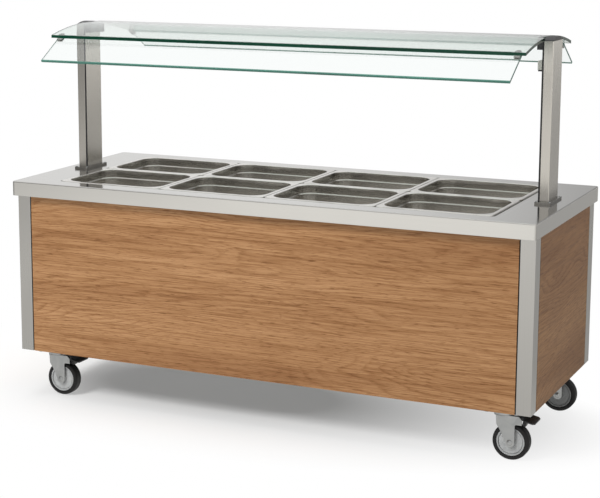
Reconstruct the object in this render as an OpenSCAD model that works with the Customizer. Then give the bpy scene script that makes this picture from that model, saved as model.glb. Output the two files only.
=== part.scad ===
// Mobile buffet counter: a heated well for eight half-size pans, wood-decor
// panels between folded posts, a bowed glass hood on two uprights, four casters.
// Millimetres. +X runs to the right, +Y to the operator, +Z up. The origin lies
// on the floor under the middle of the worktop.

/* [Worktop] */
// Length of the worktop
counter_l = 1566; // [1540:1:1700]
// Depth of the worktop
counter_d = 650; // [640:1:750]
// Height of the worktop above the floor
counter_h = 650; // [600:1:900]
// Height of the worktop's folded edge
top_edge_h = 42; // [30:1:60]
// Thickness of the worktop sheet
top_t = 1.5; // [1:0.1:2]
// Width of the lip folded in under the edge
top_lip_w = 45; // [35:1:60]
// Radius of the worktop's corners
top_corner_r = 10; // [4:1:16]
// Radius of the fold along the worktop's edge
top_bend_r = 3; // [2:0.5:3.5]
// Depth of the step from the worktop to the ledge the pans rest on
ledge_drop = 4; // [3:0.5:6]
// Width of the ledge round the tank
ledge_w = 11.5; // [11:0.1:13]
// Radius of the opening's corners
opening_r = 14; // [8:1:20]

/* [Pans] */
// Length of a half-size pan over its rim
pan_l = 325; // [315:1:330]
// Width of a half-size pan over its rim
pan_w = 265; // [255:1:270]
// Depth of a pan from its rim's top to its floor
pan_depth = 100; // [65:1:120]
// Thickness of the pan sheet
pan_t = 1; // [0.8:0.1:1.2]
// Width of the pan rim
pan_rim_w = 12; // [11.5:0.1:12.5]
// Height of the rim's turned-down edge
pan_rim_h = 5; // [4:0.5:7]
// Outer radius of the rim's corners
pan_corner_r = 16; // [14:1:24]
// Radius of the mouth's corners
mouth_r = 44; // [38:1:56]
// Radius of the rim's rolled outer edge
rim_roll_r = 2; // [1.2:0.1:3]
// Depth of the stacking shoulder below the ledge
shoulder_z = 18; // [12:1:25]
// Width of the stacking shoulder
shoulder_w = 2.5; // [1:0.5:4]
// Taper of the wall from the shoulder to the floor
pan_taper = 4; // [1:0.5:6]
// Radius between wall and floor
pan_floor_r = 22; // [6:1:26]
// Gap between neighbouring rims
pan_gap = 1.5; // [1:0.1:2.5]
// Gap from the opening's left edge to the first rim
pan_side_clear = 1.5; // [1:0.1:2]
// Slack left at the opening's right edge
pan_slack = 7; // [4:0.5:8]
// Gap from the opening's front and rear edges to the rims
pan_row_clear = 1.75; // [1:0.05:3]

/* [Tank] */
// Depth of the tank below the ledge
tank_depth = 175; // [150:1:200]
// Thickness of the tank sheet
tank_t = 1.5; // [1:0.1:2]
// Radius of the tank's corners
tank_r = 8; // [4:1:12]
// Width of the tank's flange under the worktop, beyond the opening
flange_w = 12.5; // [12:0.5:14]
// Gap from the tank's walls to the jacket
jacket_gap = 13; // [8:1:13]
// Gap from the tank's floor to the jacket's floor
jacket_drop = 24; // [18:1:30]
// Thickness of the jacket sheet
jacket_t = 1; // [0.8:0.1:1.2]
// Height of a cross bar
bar_h = 15; // [10:1:20]
// Thickness of the cross bar sheet
bar_t = 1.5; // [1:0.1:2]
// Diameter of the heating element
heater_d = 8.5; // [6:0.5:10]
// Distance between the heating element's runs
heater_pitch = 100; // [70:1:110]
// Length of the heating element's straight runs
heater_run = 1000; // [700:10:1050]
// Outside diameter of the drain pipe
drain_d = 26.9; // [22:0.1:34]
// Length of the drain lever
lever_l = 100; // [70:1:120]

/* [Body] */
// Worktop overhang beyond the body at each end
end_overhang = 6; // [2:1:20]
// Worktop overhang beyond the body at front and rear
front_overhang = 25; // [15:1:30]
// Height of the panels' lower edge above the floor
panel_z = 140; // [136:1:150]
// Thickness of the wood-decor panels
panel_t = 18; // [16:1:20]
// Width of a post's front face
post_front_w = 40; // [30:1:60]
// Width of a post's side face
post_side_w = 45; // [30:1:60]
// Thickness of the post sheet
post_t = 2; // [1.5:0.1:3]
// Width of the dark gap between post and panel
seal_w = 3.5; // [2:0.1:5]
// Depth of the seal behind the panel's face
seal_inset = 3; // [1:0.5:5]
// Width of the chassis channel
channel_w = 125; // [118:1:150]
// Height of the chassis channel
channel_h = 30; // [24:1:50]
// Thickness of the chassis channel
channel_t = 2.5; // [2:0.1:4]
// Thickness of the storage floor
floor_t = 1.5; // [1:0.1:3]
// Height of the operator's control panel
control_h = 110; // [90:1:130]
// Diameter of the thermostat knob
knob_d = 45; // [36:1:55]

/* [Hood] */
// Distance of an upright's middle inside the middle of the worktop's end margin
upright_inset = 0.75; // [-14:0.25:8]
// Distance of the hood's middle behind the worktop's middle
hood_y = 16; // [-20:1:40]
// Width of an upright, seen from the front
upright_w = 28; // [22:1:40]
// Depth of an upright, seen from the side
upright_d = 92; // [70:1:110]
// Wall of an upright
upright_t = 3; // [2.5:0.1:4]
// Height of the uprights' upper end above the worktop
upright_h = 436; // [380:1:500]
// Margin of the foot plate round the upright, to the sides
foot_side = 8; // [6:1:14]
// Margin of the foot plate before and behind the upright
foot_front = 15; // [10:1:25]
// Thickness of the foot plate
foot_t = 6; // [5:0.5:8]
// Width of the black strip down the upright
strip_w = 3; // [3:0.5:6]
// Depth of the black strip's rebate
strip_d = 2; // [1:0.1:2.2]
// Height of the black strip proud of the upright's inner face
strip_proud = 1.5; // [0.5:0.5:1.5]
// Rise of the domed cap
cap_rise = 9; // [5:0.5:14]
// Outer radius of the bowed roof
roof_r = 943; // [900:1:1500]
// Depth of the roof over its bow
roof_d = 448; // [400:1:500]
// Thickness of the roof glass
roof_t = 8; // [6:0.5:10]
// Overhang of the roof beyond the upright's inner face
roof_end = 5; // [3:1:20]
// Height of the roof's ridge above the uprights' upper end
ridge_rise = 10; // [9:0.5:14]
// Clearance of the notch round the upright and its strip
notch_clear = 1; // [1:0.5:4]
// Width of a sloping pane along its fall
pane_w = 117; // [90:1:150]
// Thickness of the sloping panes
pane_t = 6; // [4:0.5:8]
// Fall of the panes below the horizontal
pane_angle = 31.4; // [20:0.1:45]
// Distance of a pane's ends inside the roof's ends
pane_inset = 16; // [15:1:60]
// Distance of a pane's upper edge inside the roof's edge
pane_edge = 18; // [14:1:30]
// Distance of a pane's upper edge below the roof's underside
pane_drop = 4.5; // [4:0.5:8]
// Distance of a clamp's middle from the pane's end
clamp_inset = 9; // [8:1:80]

/* [Casters] */
// Diameter of the wheels
wheel_d = 100; // [90:1:104]
// Width of the tyres
tyre_w = 32; // [24:1:34]
// Diameter of the grey wheel discs
disc_d = 76; // [60:1:80]
// Height of a caster over its top plate
caster_h = 140; // [130:1:144]
// Distance of the wheel's axle behind the swivel axis
trail = 21; // [20:1:30]
// Distance of a swivel axis from the body's end
caster_end = 87; // [80:1:120]
// Distance of a swivel axis from the body's front or rear
caster_side = 62; // [61:1:75]
// Length of a caster's top plate
plate_l = 105; // [95:1:110]
// Width of a caster's top plate
plate_w = 85; // [75:1:86]
// Thickness of a caster's top plate
plate_t = 4; // [3:0.5:5]
// Diameter of the axle
axle_d = 10; // [8:0.5:12]
// Thickness of the fork
fork_t = 3; // [2.5:0.1:4]
// Reach of the brake pedal beyond its pivot
pedal_l = 50; // [40:1:60]
// Width of the brake pedal's tread
pedal_w = 64; // [44:1:70]
// Slope of the brake pedal at rest
pedal_slope = 12; // [10:1:24]

/* [Hidden] */
$fn = 64;

// Clearances shared by pieces that meet
run_clear = 0.05;
hole_clear = 0.2;
rest_clear = 0.2;
face_clear = 0.5;
cut = 1;

// Pan field: four columns and two rows fill one opening
columns = 4;
rows = 2;
column_pitch = pan_l + pan_gap;
row_pitch = pan_w + pan_gap;
opening_l = columns * pan_l + (columns - 1) * pan_gap + pan_side_clear + pan_slack;
opening_d = rows * pan_w + (rows - 1) * pan_gap + 2 * pan_row_clear;
first_pan_x = -opening_l / 2 + pan_side_clear + pan_l / 2;
first_pan_y = -opening_d / 2 + pan_row_clear + pan_w / 2;
ledge_z = counter_h - ledge_drop;

// Tank and jacket
tank_l = opening_l - 2 * ledge_w;
tank_d = opening_d - 2 * ledge_w;
tank_floor_z = ledge_z - tank_depth;
tank_base_z = tank_floor_z - tank_t;
jacket_l = tank_l + 2 * (tank_t + jacket_gap + jacket_t);
jacket_d = tank_d + 2 * (tank_t + jacket_gap + jacket_t);
jacket_z = tank_base_z - jacket_drop;
flange_z = ledge_z - tank_t;
bar_clear = 1.75;
bar_w = 2 * (pan_rim_w - pan_t - bar_clear) + pan_gap;
bar_z = ledge_z - bar_h;
clip_t = 2;
clip_reach = 12;
drain_inset = 45;
drain_side = 76;
drain_x = -tank_l / 2 + drain_inset;
drain_y = tank_d / 2 - drain_side;
drain_wall = 2.4;
valve_s = 44;
valve_drop = 50;
valve_z = jacket_z - valve_drop;
valve_nut_h = 12;
stem_d = 10;
stem_boss_d = 22;
stem_boss_l = 8;
stem_start = 14;
lever_t = 4;
lever_w = 18;
lever_hub_d = 24;

// Body
body_l = counter_l - 2 * end_overhang;
body_d = counter_d - 2 * front_overhang;
body_top = counter_h - top_edge_h;
inner_l = body_l - 2 * panel_t;
inner_d = body_d - 2 * panel_t;
floor_z = caster_h + channel_h;
control_z = body_top - control_h;
control_t = 1.5;
control_mid_z = body_top - control_h / 2;
control_face = body_d / 2;
knob_inset = 177;
switch_pitch = 80;
lamp_pitch = 70;
knob_x = body_l / 2 - knob_inset;
switch_x = knob_x - switch_pitch;
lamp_x = switch_x - lamp_pitch;

// Hood
end_margin = (counter_l - opening_l) / 2;
upright_x = counter_l / 2 - end_margin / 2 - upright_inset;
foot_top = counter_h + foot_t;
foot_skin = 1;
backing_t = 4;
backing_clear = 3;
backing_front = 25;
backing_w = end_margin - flange_w - top_t - 2 * backing_clear;
backing_x = counter_l / 2 - top_t - backing_clear - backing_w / 2;
upright_top = counter_h + upright_h;
inner_face = upright_x - upright_w / 2;
ridge_z = upright_top + ridge_rise;
bow_z = ridge_z - roof_r;
under_r = roof_r - roof_t;
roof_half = inner_face + roof_end;
notch_w = upright_w + 2 * (strip_proud + notch_clear);
pane_half = roof_half - pane_inset;
pane_y = roof_d / 2 - pane_edge;
pane_z = bow_z + sqrt(under_r * under_r - pane_y * pane_y) - pane_drop;
clamp_x = pane_half - clamp_inset;

// Casters
caster_x = body_l / 2 - caster_end;
caster_y = body_d / 2 - caster_side;
leg_gap = 3;
race_h = 5;
upper_race_h = 6;
leg_inner = tyre_w / 2 + leg_gap;
race_d = 60;
race_gap = 0.4;
neck_h = 1.6;
crown_z = caster_h - plate_t - neck_h - upper_race_h - race_gap - race_h - fork_t;
crown_gap = crown_z - wheel_d;
lower_race_top = crown_z + fork_t + race_h;
kingpin_d = 12;
kingpin_nut_d = 18;
kingpin_nut_h = 4.2;
kingpin_nut_gap = 0.3;
pivot_ahead = 17;
pivot_x = trail + pivot_ahead;
pivot_z = wheel_d + crown_gap / 2;
pivot_d = 6;
lug_reach = 14;
head_d = 16;
head_h = 5;
axle_nut_h = 6;
bolt_d = 8;
bolt_head_w = 13;
bolt_head_h = 5.3;
bolt_edge = 12.5;
nut_h = 6.5;
bolt_end = 9;
bolt_dx = plate_l / 2 - bolt_edge;
bolt_dy = plate_w / 2 - bolt_edge;

module rounded(l, w, r) {
    square([l, w - 2 * r], center = true);
    square([l - 2 * r, w], center = true);
    for (x = [-1, 1], y = [-1, 1]) {
        translate([x * (l / 2 - r), y * (w / 2 - r)])
            circle(r = r);
    }
}

module block(l, w, r, z0, z1) {
    translate([0, 0, z0])
        linear_extrude(height = z1 - z0)
            rounded(l, w, r);
}

module at_casters() {
    for (x = [-1, 1], y = [-1, 1]) {
        translate([x * caster_x, y * caster_y, 0])
            children();
    }
}

module at_uprights() {
    for (x = [-1, 1]) {
        translate([x * upright_x, hood_y, 0])
            children();
    }
}

module mirrored_y(on) {
    if (on) {
        translate([0, hood_y, 0])
            mirror([0, 1, 0])
                translate([0, -hood_y, 0])
                    children();
    } else {
        children();
    }
}

// A sheet's rounded fold: a quarter ring that runs round four corners and along four sides
module fold_profile(bend_r, sheet_t) {
    intersection() {
        difference() {
            circle(r = bend_r);
            circle(r = bend_r - sheet_t);
        }
        square([bend_r, bend_r]);
    }
}

// Runs a profile, drawn from the outline outwards, round a rounded rectangle
module run_round(l, w, r) {
    x = l / 2 - r;
    y = w / 2 - r;
    for (i = [0 : 3]) {
        sx = i == 0 || i == 3 ? 1 : -1;
        sy = i < 2 ? 1 : -1;
        run = i % 2 == 0 ? 2 * y : 2 * x;
        out = (i % 2 == 0 ? l : w) / 2;
        translate([sx * x, sy * y, 0])
            rotate([0, 0, 90 * i])
                rotate_extrude(angle = 90)
                    translate([r, 0])
                        children();
        rotate([0, 0, 90 * i])
            translate([out, run / 2, 0])
                rotate([90, 0, 0])
                    linear_extrude(height = run)
                        children();
    }
}

module edge_fold(l, w, corner_r, bend_r, sheet_t, top) {
    translate([0, 0, top - bend_r])
        run_round(l, w, corner_r)
            translate([-bend_r, 0])
                fold_profile(bend_r, sheet_t);
}

// Worktop: one folded sheet with a skirt, a lip and a turned-down opening
module worktop() {
    color([0.80, 0.80, 0.78])
    difference() {
        union() {
            difference() {
                block(counter_l, counter_d, top_corner_r, body_top, counter_h - top_bend_r);
                block(counter_l - 2 * top_t, counter_d - 2 * top_t, top_corner_r - top_t,
                    body_top + top_t, counter_h);
                translate([0, 0, body_top - cut])
                    linear_extrude(height = top_t + 2 * cut)
                        square([counter_l - 2 * top_lip_w, counter_d - 2 * top_lip_w], center = true);
            }
            edge_fold(counter_l, counter_d, top_corner_r, top_bend_r, top_t, counter_h);
            block(counter_l - 2 * top_bend_r, counter_d - 2 * top_bend_r, top_corner_r - top_bend_r,
                counter_h - top_t, counter_h);
            block(opening_l + 2 * top_t, opening_d + 2 * top_t, opening_r + top_t,
                ledge_z, counter_h - top_t / 2);
        }
        block(opening_l, opening_d, opening_r, ledge_z - cut, counter_h + cut);
        upright_bolt_holes(counter_h - top_t - cut, counter_h + cut);
    }
}

module upright_bolt_holes(z0, z1) {
    at_uprights() {
        for (y = [-1, 1]) {
            translate([0, y * (upright_d / 2), z0])
                cylinder(d = bolt_d + 2 * hole_clear, h = z1 - z0);
        }
    }
}

// Tank: deep-drawn well with a ledge, and clips that carry the cross bars
module water_tank() {
    color([0.72, 0.73, 0.73]) {
        difference() {
            union() {
                block(opening_l + 2 * flange_w, opening_d + 2 * flange_w, opening_r, flange_z, ledge_z);
                block(tank_l + 2 * tank_t, tank_d + 2 * tank_t, tank_r + tank_t, tank_base_z, ledge_z);
            }
            block(tank_l, tank_d, tank_r, tank_floor_z, ledge_z + cut);
            translate([drain_x, drain_y, tank_base_z - cut])
                cylinder(d = drain_d - 2 * drain_wall, h = tank_t + 2 * cut);
        }
        for (i = [1 : columns - 1], y = [-1, 1]) {
            translate([bar_x(i), y * (tank_d / 2 - clip_reach / 2), bar_z - clip_t / 2])
                cube([bar_w + 4, clip_reach, clip_t], center = true);
        }
    }
}

function bar_x(i) = -opening_l / 2 + pan_side_clear + i * column_pitch - pan_gap / 2;

module tank_jacket() {
    color([0.62, 0.64, 0.65])
    difference() {
        block(jacket_l, jacket_d, tank_r + jacket_gap, jacket_z, flange_z);
        block(jacket_l - 2 * jacket_t, jacket_d - 2 * jacket_t, tank_r + jacket_gap - jacket_t,
            jacket_z + jacket_t, flange_z + cut);
        translate([drain_x, drain_y, jacket_z - cut])
            cylinder(d = drain_d + 2 * hole_clear, h = jacket_t + 2 * cut);
    }
}

// Heating element: one serpentine of four runs under the tank's floor
module heating_element() {
    runs = 4;
    z = tank_base_z - rest_clear - heater_d / 2;
    first_y = -(runs - 1) / 2 * heater_pitch;
    color([0.35, 0.33, 0.32]) {
        for (i = [0 : runs - 1]) {
            translate([-heater_run / 2, first_y + i * heater_pitch, z])
                rotate([0, 90, 0])
                    cylinder(d = heater_d, h = heater_run);
        }
        for (i = [0 : runs - 2]) {
            side = i % 2 == 0 ? -1 : 1;
            translate([side * heater_run / 2, first_y + (i + 0.5) * heater_pitch, z])
                rotate([0, 0, side < 0 ? 90 : -90])
                    rotate_extrude(angle = 180)
                        translate([heater_pitch / 2, 0])
                            circle(d = heater_d);
        }
    }
}

// Cross bars: folded channels between the pan columns, flush with the ledge
module cross_bars() {
    color([0.76, 0.76, 0.75])
    for (i = [1 : columns - 1]) {
        translate([bar_x(i), tank_d / 2 - 1, bar_z])
            rotate([90, 0, 0])
                linear_extrude(height = tank_d - 2)
                    difference() {
                        translate([-bar_w / 2, 0])
                            square([bar_w, bar_h]);
                        translate([-bar_w / 2 + bar_t, -cut])
                            square([bar_w - 2 * bar_t, bar_h - bar_t + cut]);
                    }
    }
}

// Pan sheet from the mouth to the floor, as [offset from the rim's outer edge, height over the ledge]
pan_floor = pan_rim_h - pan_depth;
wall_in = pan_rim_w + 0.6;
shoulder_in = wall_in + shoulder_w;
heel_in = shoulder_in + pan_taper;
pan_sheet = concat(
    [[-pan_rim_w + 1.2, pan_rim_h], [-pan_rim_w, pan_rim_h - 1.2]],
    [[-wall_in, -shoulder_z], [-shoulder_in, -shoulder_z - 3]],
    [for (a = [0 : 22.5 : 90])
        [-heel_in - pan_floor_r * (1 - cos(a)), pan_floor + pan_floor_r * (1 - sin(a))]]
);

// The wall's profile, with the inner part of the rim's flat
rim_lap = 3;
module pan_profile() {
    last = len(pan_sheet) - 1;
    polygon(concat(
        pan_sheet,
        [for (i = [last : -1 : 0]) pan_sheet[i] + [pan_t, -pan_t]],
        [[-pan_rim_w + rim_lap, pan_rim_h - pan_t], [-pan_rim_w + rim_lap, pan_rim_h]]
    ));
}

// Rim: a flat with small outer corners round a mouth with large ones, rolled down at its edge
module pan_rim() {
    lap_in = pan_rim_w - rim_lap / 2;
    difference() {
        union() {
            block(pan_l - 2 * rim_roll_r, pan_w - 2 * rim_roll_r, pan_corner_r - rim_roll_r,
                pan_rim_h - pan_t, pan_rim_h);
            edge_fold(pan_l, pan_w, pan_corner_r, rim_roll_r, pan_t, pan_rim_h);
            difference() {
                block(pan_l, pan_w, pan_corner_r, 0, pan_rim_h - rim_roll_r);
                block(pan_l - 2 * pan_t, pan_w - 2 * pan_t, pan_corner_r - pan_t, -cut, pan_rim_h);
            }
        }
        block(pan_l - 2 * lap_in, pan_w - 2 * lap_in, sweep_r - lap_in, -cut, pan_rim_h + cut);
    }
}

// Pan: a rim, a wall that runs round the mouth, and a floor that closes it
sweep_r = mouth_r + pan_rim_w;
module pan(column, row) {
    floor_in = heel_in + pan_floor_r - pan_t / 2;
    color([0.78, 0.78, 0.77])
    translate([first_pan_x + column * column_pitch, first_pan_y + row * row_pitch, ledge_z + rest_clear]) {
        pan_rim();
        run_round(pan_l, pan_w, sweep_r)
            pan_profile();
        block(pan_l - 2 * floor_in, pan_w - 2 * floor_in, sweep_r - floor_in, pan_floor - pan_t, pan_floor);
    }
}

module pan_1_front() pan(0, 0);
module pan_2_front() pan(1, 0);
module pan_3_front() pan(2, 0);
module pan_4_front() pan(3, 0);
module pan_1_rear() pan(0, 1);
module pan_2_rear() pan(1, 1);
module pan_3_rear() pan(2, 1);
module pan_4_rear() pan(3, 1);

// Drain: pipe from the tank's floor, ball valve and outlet
module drain_valve() {
    color([0.72, 0.60, 0.32])
    translate([drain_x, drain_y, 0])
    difference() {
        union() {
            translate([0, 0, valve_z - valve_s])
                cylinder(d = drain_d, h = tank_base_z - valve_z + valve_s);
            translate([0, 0, valve_z - valve_s / 2])
                cylinder(d = valve_s, h = valve_s);
            for (z = [-1, 1]) {
                translate([0, 0, valve_z + z * valve_s / 2 - valve_nut_h / 2])
                    cylinder(d = valve_s + 4, h = valve_nut_h, $fn = 6);
            }
            translate([0, 0, valve_z])
                rotate([-90, 0, 0])
                    cylinder(d = stem_boss_d, h = valve_s / 2 + stem_boss_l);
        }
        translate([0, 0, valve_z - valve_s - cut])
            cylinder(d = drain_d - 2 * drain_wall, h = valve_s / 2 + cut);
        translate([0, 0, valve_z + valve_s / 2])
            cylinder(d = drain_d - 2 * drain_wall, h = tank_base_z - valve_z + cut);
        translate([0, stem_start - 2, valve_z])
            rotate([-90, 0, 0])
                cylinder(d = stem_d + 2 * run_clear, h = valve_s);
    }
}

module drain_lever() {
    stem_out = valve_s / 2 + stem_boss_l + face_clear;
    color([0.75, 0.12, 0.10])
    translate([drain_x, drain_y, valve_z]) {
        translate([0, stem_start, 0])
            rotate([-90, 0, 0])
                cylinder(d = stem_d, h = stem_out - stem_start + lever_t / 2);
        translate([0, stem_out, 0])
            rotate([-90, 0, 0])
                linear_extrude(height = lever_t) {
                    circle(d = lever_hub_d);
                    translate([0, -lever_w / 2])
                        square([lever_l - lever_w / 2, lever_w]);
                    translate([lever_l - lever_w / 2, 0])
                        circle(d = lever_w);
                }
    }
}

// Chassis: a welded ring of open channel, with holes for the caster bolts
module chassis() {
    color([0.22, 0.23, 0.24])
    difference() {
        translate([-inner_l / 2, -inner_d / 2, caster_h])
            cube([inner_l, inner_d, channel_h]);
        translate([0, 0, caster_h - cut])
            linear_extrude(height = channel_h + 2 * cut)
                square([inner_l - 2 * channel_w, inner_d - 2 * channel_w], center = true);
        translate([0, 0, caster_h + channel_t])
            linear_extrude(height = channel_h)
                difference() {
                    square([inner_l - 2 * channel_t, inner_d - 2 * channel_t], center = true);
                    square([inner_l - 2 * channel_w + 2 * channel_t, inner_d - 2 * channel_w + 2 * channel_t],
                        center = true);
                }
        at_casters()
            caster_bolt_holes(caster_h - cut, caster_h + channel_t + cut);
    }
}

module caster_bolt_holes(z0, z1) {
    for (x = [-1, 1], y = [-1, 1]) {
        translate([x * bolt_dx, y * bolt_dy, z0])
            cylinder(d = bolt_d + 2 * hole_clear, h = z1 - z0);
    }
}

module storage_floor() {
    color([0.70, 0.71, 0.71])
    translate([-inner_l / 2, -inner_d / 2, floor_z])
        cube([inner_l, inner_d, floor_t]);
}

// Post: sheet folded to an angle, with returns as deep as the panels are thick
module post() {
    color([0.66, 0.66, 0.64])
    translate([0, 0, panel_z])
        linear_extrude(height = body_top - panel_z) {
            square([post_front_w, post_t]);
            square([post_t, post_side_w]);
            translate([post_front_w - post_t, 0])
                square([post_t, panel_t]);
            translate([0, post_side_w - post_t])
                square([panel_t, post_t]);
        }
}

module post_front_left() {
    translate([-body_l / 2, -body_d / 2, 0])
        post();
}

module post_front_right() {
    mirror([1, 0, 0])
        post_front_left();
}

module post_rear_left() {
    mirror([0, 1, 0])
        post_front_left();
}

module post_rear_right() {
    mirror([0, 1, 0])
        post_front_right();
}

// Panels between the posts, and the seals that fill the gaps beside them
front_half = body_l / 2 - post_front_w - seal_w;
side_half = body_d / 2 - post_side_w - seal_w;

module front_panel() {
    color([0.65, 0.45, 0.29])
    translate([-front_half, -body_d / 2, panel_z])
        cube([2 * front_half, panel_t, body_top - panel_z]);
}

module right_panel() {
    color([0.55, 0.40, 0.28])
    translate([body_l / 2 - panel_t, -side_half, panel_z])
        cube([panel_t, 2 * side_half, body_top - panel_z]);
}

module left_panel() {
    mirror([1, 0, 0])
        right_panel();
}

module gap_seals() {
    seal_depth = panel_t - seal_inset;
    color([0.06, 0.06, 0.06]) {
        for (x = [-1, 1]) {
            translate([x * (front_half + seal_w / 2), -body_d / 2 + seal_inset + seal_depth / 2, panel_z])
                linear_extrude(height = body_top - panel_z)
                    square([seal_w, seal_depth], center = true);
        }
        for (x = [-1, 1], y = [-1, 1]) {
            translate([x * (body_l / 2 - seal_inset - seal_depth / 2), y * (side_half + seal_w / 2), panel_z])
                linear_extrude(height = body_top - panel_z)
                    square([seal_depth, seal_w], center = true);
        }
    }
}

// Control panel on the operator's side: folded sheet between the rear posts
switch_l = 28;
switch_h = 22.6;
lamp_d = 14;
bush_d = 11;
module control_panel() {
    half = body_l / 2 - post_front_w;
    fold = 15;
    color([0.70, 0.70, 0.68])
    difference() {
        translate([-half, 0, 0])
            rotate([90, 0, 90])
                linear_extrude(height = 2 * half) {
                    translate([control_face - control_t, control_z])
                        square([control_t, control_h]);
                    translate([control_face - fold, control_z])
                        square([fold, control_t]);
                    translate([control_face - fold, body_top - control_t])
                        square([fold, control_t]);
                }
        translate([knob_x, control_face - control_t - cut, control_mid_z])
            rotate([-90, 0, 0])
                cylinder(d = bush_d + 2 * hole_clear, h = control_t + 2 * cut);
        translate([lamp_x, control_face - control_t - cut, control_mid_z])
            rotate([-90, 0, 0])
                cylinder(d = lamp_d + 2 * hole_clear, h = control_t + 2 * cut);
        translate([switch_x, control_face, control_mid_z])
            cube([switch_l + 3, 2 * control_t + 2 * cut, switch_h + 3], center = true);
    }
}

shaft_d = 6;
module thermostat() {
    color([0.20, 0.20, 0.21])
    translate([knob_x, control_face, control_mid_z])
        rotate([-90, 0, 0])
            difference() {
                union() {
                    translate([0, 0, -control_t - 17])
                        cylinder(d = 40, h = 17);
                    translate([0, 0, -control_t - cut])
                        cylinder(d = bush_d, h = control_t + cut);
                }
                translate([0, 0, -14])
                    cylinder(d = shaft_d + 2 * run_clear, h = 16);
            }
}

module thermostat_knob() {
    color([0.07, 0.07, 0.07])
    translate([knob_x, control_face, control_mid_z])
        rotate([-90, 0, 0]) {
            translate([0, 0, -12])
                cylinder(d = shaft_d, h = 14);
            translate([0, 0, face_clear])
                cylinder(d = knob_d, h = 6);
            translate([0, 0, 6])
                cylinder(d = knob_d * 0.76, h = 16);
            translate([-3, -knob_d / 2, 5])
                cube([6, knob_d, 19]);
        }
}

// Rocker switch: a frame clipped through the panel and a rocker on a cross pin
module switch_frame() {
    color([0.08, 0.08, 0.08])
    translate([switch_x, control_face, control_mid_z])
    difference() {
        union() {
            translate([0, 1, 0])
                cube([switch_l + 8, 2, switch_h + 8], center = true);
            translate([0, -8, 0])
                cube([switch_l + 3 - 2 * hole_clear, 16, switch_h + 3 - 2 * hole_clear], center = true);
        }
        translate([0, -5, 0])
            cube([switch_l, 18, switch_h], center = true);
        translate([-switch_l / 2 - 1, -4, 0])
            rotate([0, 90, 0])
                cylinder(d = 3 + 2 * run_clear, h = switch_l + 2);
    }
}

module switch_rocker() {
    color([0.10, 0.45, 0.16])
    translate([switch_x, control_face - 4, control_mid_z]) {
        translate([-switch_l / 2 - 0.7, 0, 0])
            rotate([0, 90, 0])
                cylinder(d = 3, h = switch_l + 1.4);
        intersection() {
            translate([0, 1.5, 0])
                cube([switch_l - 1, 11, switch_h - 1.6], center = true);
            translate([-switch_l / 2, -20, 0])
                rotate([0, 90, 0])
                    cylinder(r = 27, h = switch_l);
        }
    }
}

module signal_lamp() {
    color([0.90, 0.55, 0.12])
    translate([lamp_x, control_face, control_mid_z])
        rotate([-90, 0, 0]) {
            translate([0, 0, -14])
                cylinder(d = lamp_d, h = 14);
            cylinder(d = lamp_d + 5, h = 2);
            intersection() {
                translate([0, 0, -5])
                    sphere(r = 11);
                translate([0, 0, 1])
                    cylinder(d = lamp_d, h = 10);
            }
        }
}

// Uprights: tubes with a rebate at the inner front corner for the black strip
module upright(side) {
    strip_x = side > 0 ? -upright_w / 2 : upright_w / 2 - strip_w;
    color([0.78, 0.77, 0.74])
    difference() {
        at_upright(side)
            block(upright_w, upright_d, 2, foot_top, upright_top);
        at_upright(side)
            block(upright_w - 2 * upright_t, upright_d - 2 * upright_t, 1, foot_top - cut, upright_top + cut);
        at_upright(side)
            translate([strip_x - (side > 0 ? cut : 0), -upright_d / 2 - cut, foot_top - cut])
                cube([strip_w + cut, strip_d + cut, upright_top - foot_top + 2 * cut]);
    }
}

module at_upright(side) {
    translate([side * upright_x, hood_y, 0])
        children();
}

module left_upright() upright(-1);
module right_upright() upright(1);

module upright_strips() {
    color([0.05, 0.05, 0.05])
    for (side = [-1, 1]) {
        strip_x = side > 0 ? -upright_w / 2 - strip_proud : upright_w / 2 - strip_w;
        at_upright(side)
            translate([strip_x, -upright_d / 2, foot_top])
                cube([strip_w + strip_proud, strip_d, upright_top - foot_top]);
    }
}

module foot_plates() {
    color([0.60, 0.59, 0.57])
    difference() {
        at_uprights()
            block(upright_w + 2 * foot_side, upright_d + 2 * foot_front, 4, counter_h, foot_top);
        upright_bolt_holes(counter_h - cut, foot_top - foot_skin);
    }
}

module backing_plates() {
    color([0.45, 0.46, 0.47])
    difference() {
        for (x = [-1, 1]) {
            translate([x * backing_x, hood_y, 0])
                block(backing_w, upright_d + 2 * backing_front, 4,
                    counter_h - top_t - backing_t, counter_h - top_t);
        }
        upright_bolt_holes(counter_h - top_t - backing_t - cut, counter_h);
    }
}

// Caps: a plug in the tube and a dome over its end
module upright_caps() {
    dome_r = (pow(upright_d / 2, 2) + pow(cap_rise, 2)) / (2 * cap_rise);
    plug_w = upright_w - 2 * upright_t - 2 * hole_clear;
    plug_d = upright_d - 2 * upright_t - 2 * hole_clear;
    color([0.05, 0.05, 0.05])
    at_uprights() {
        block(plug_w, plug_d, 1, upright_top - 14, upright_top);
        intersection() {
            block(upright_w, upright_d, 2, upright_top, upright_top + 2 + cap_rise);
            translate([-upright_w, 0, upright_top + 2 + cap_rise - dome_r])
                rotate([0, 90, 0])
                    cylinder(r = dome_r, h = 2 * upright_w, $fn = 240);
        }
    }
}

// Roof: bowed glass with a notch round each upright
module under_bow() {
    translate([-counter_l / 2, hood_y, bow_z])
        rotate([0, 90, 0])
            cylinder(r = under_r, h = counter_l, $fn = 1440);
}

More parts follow.
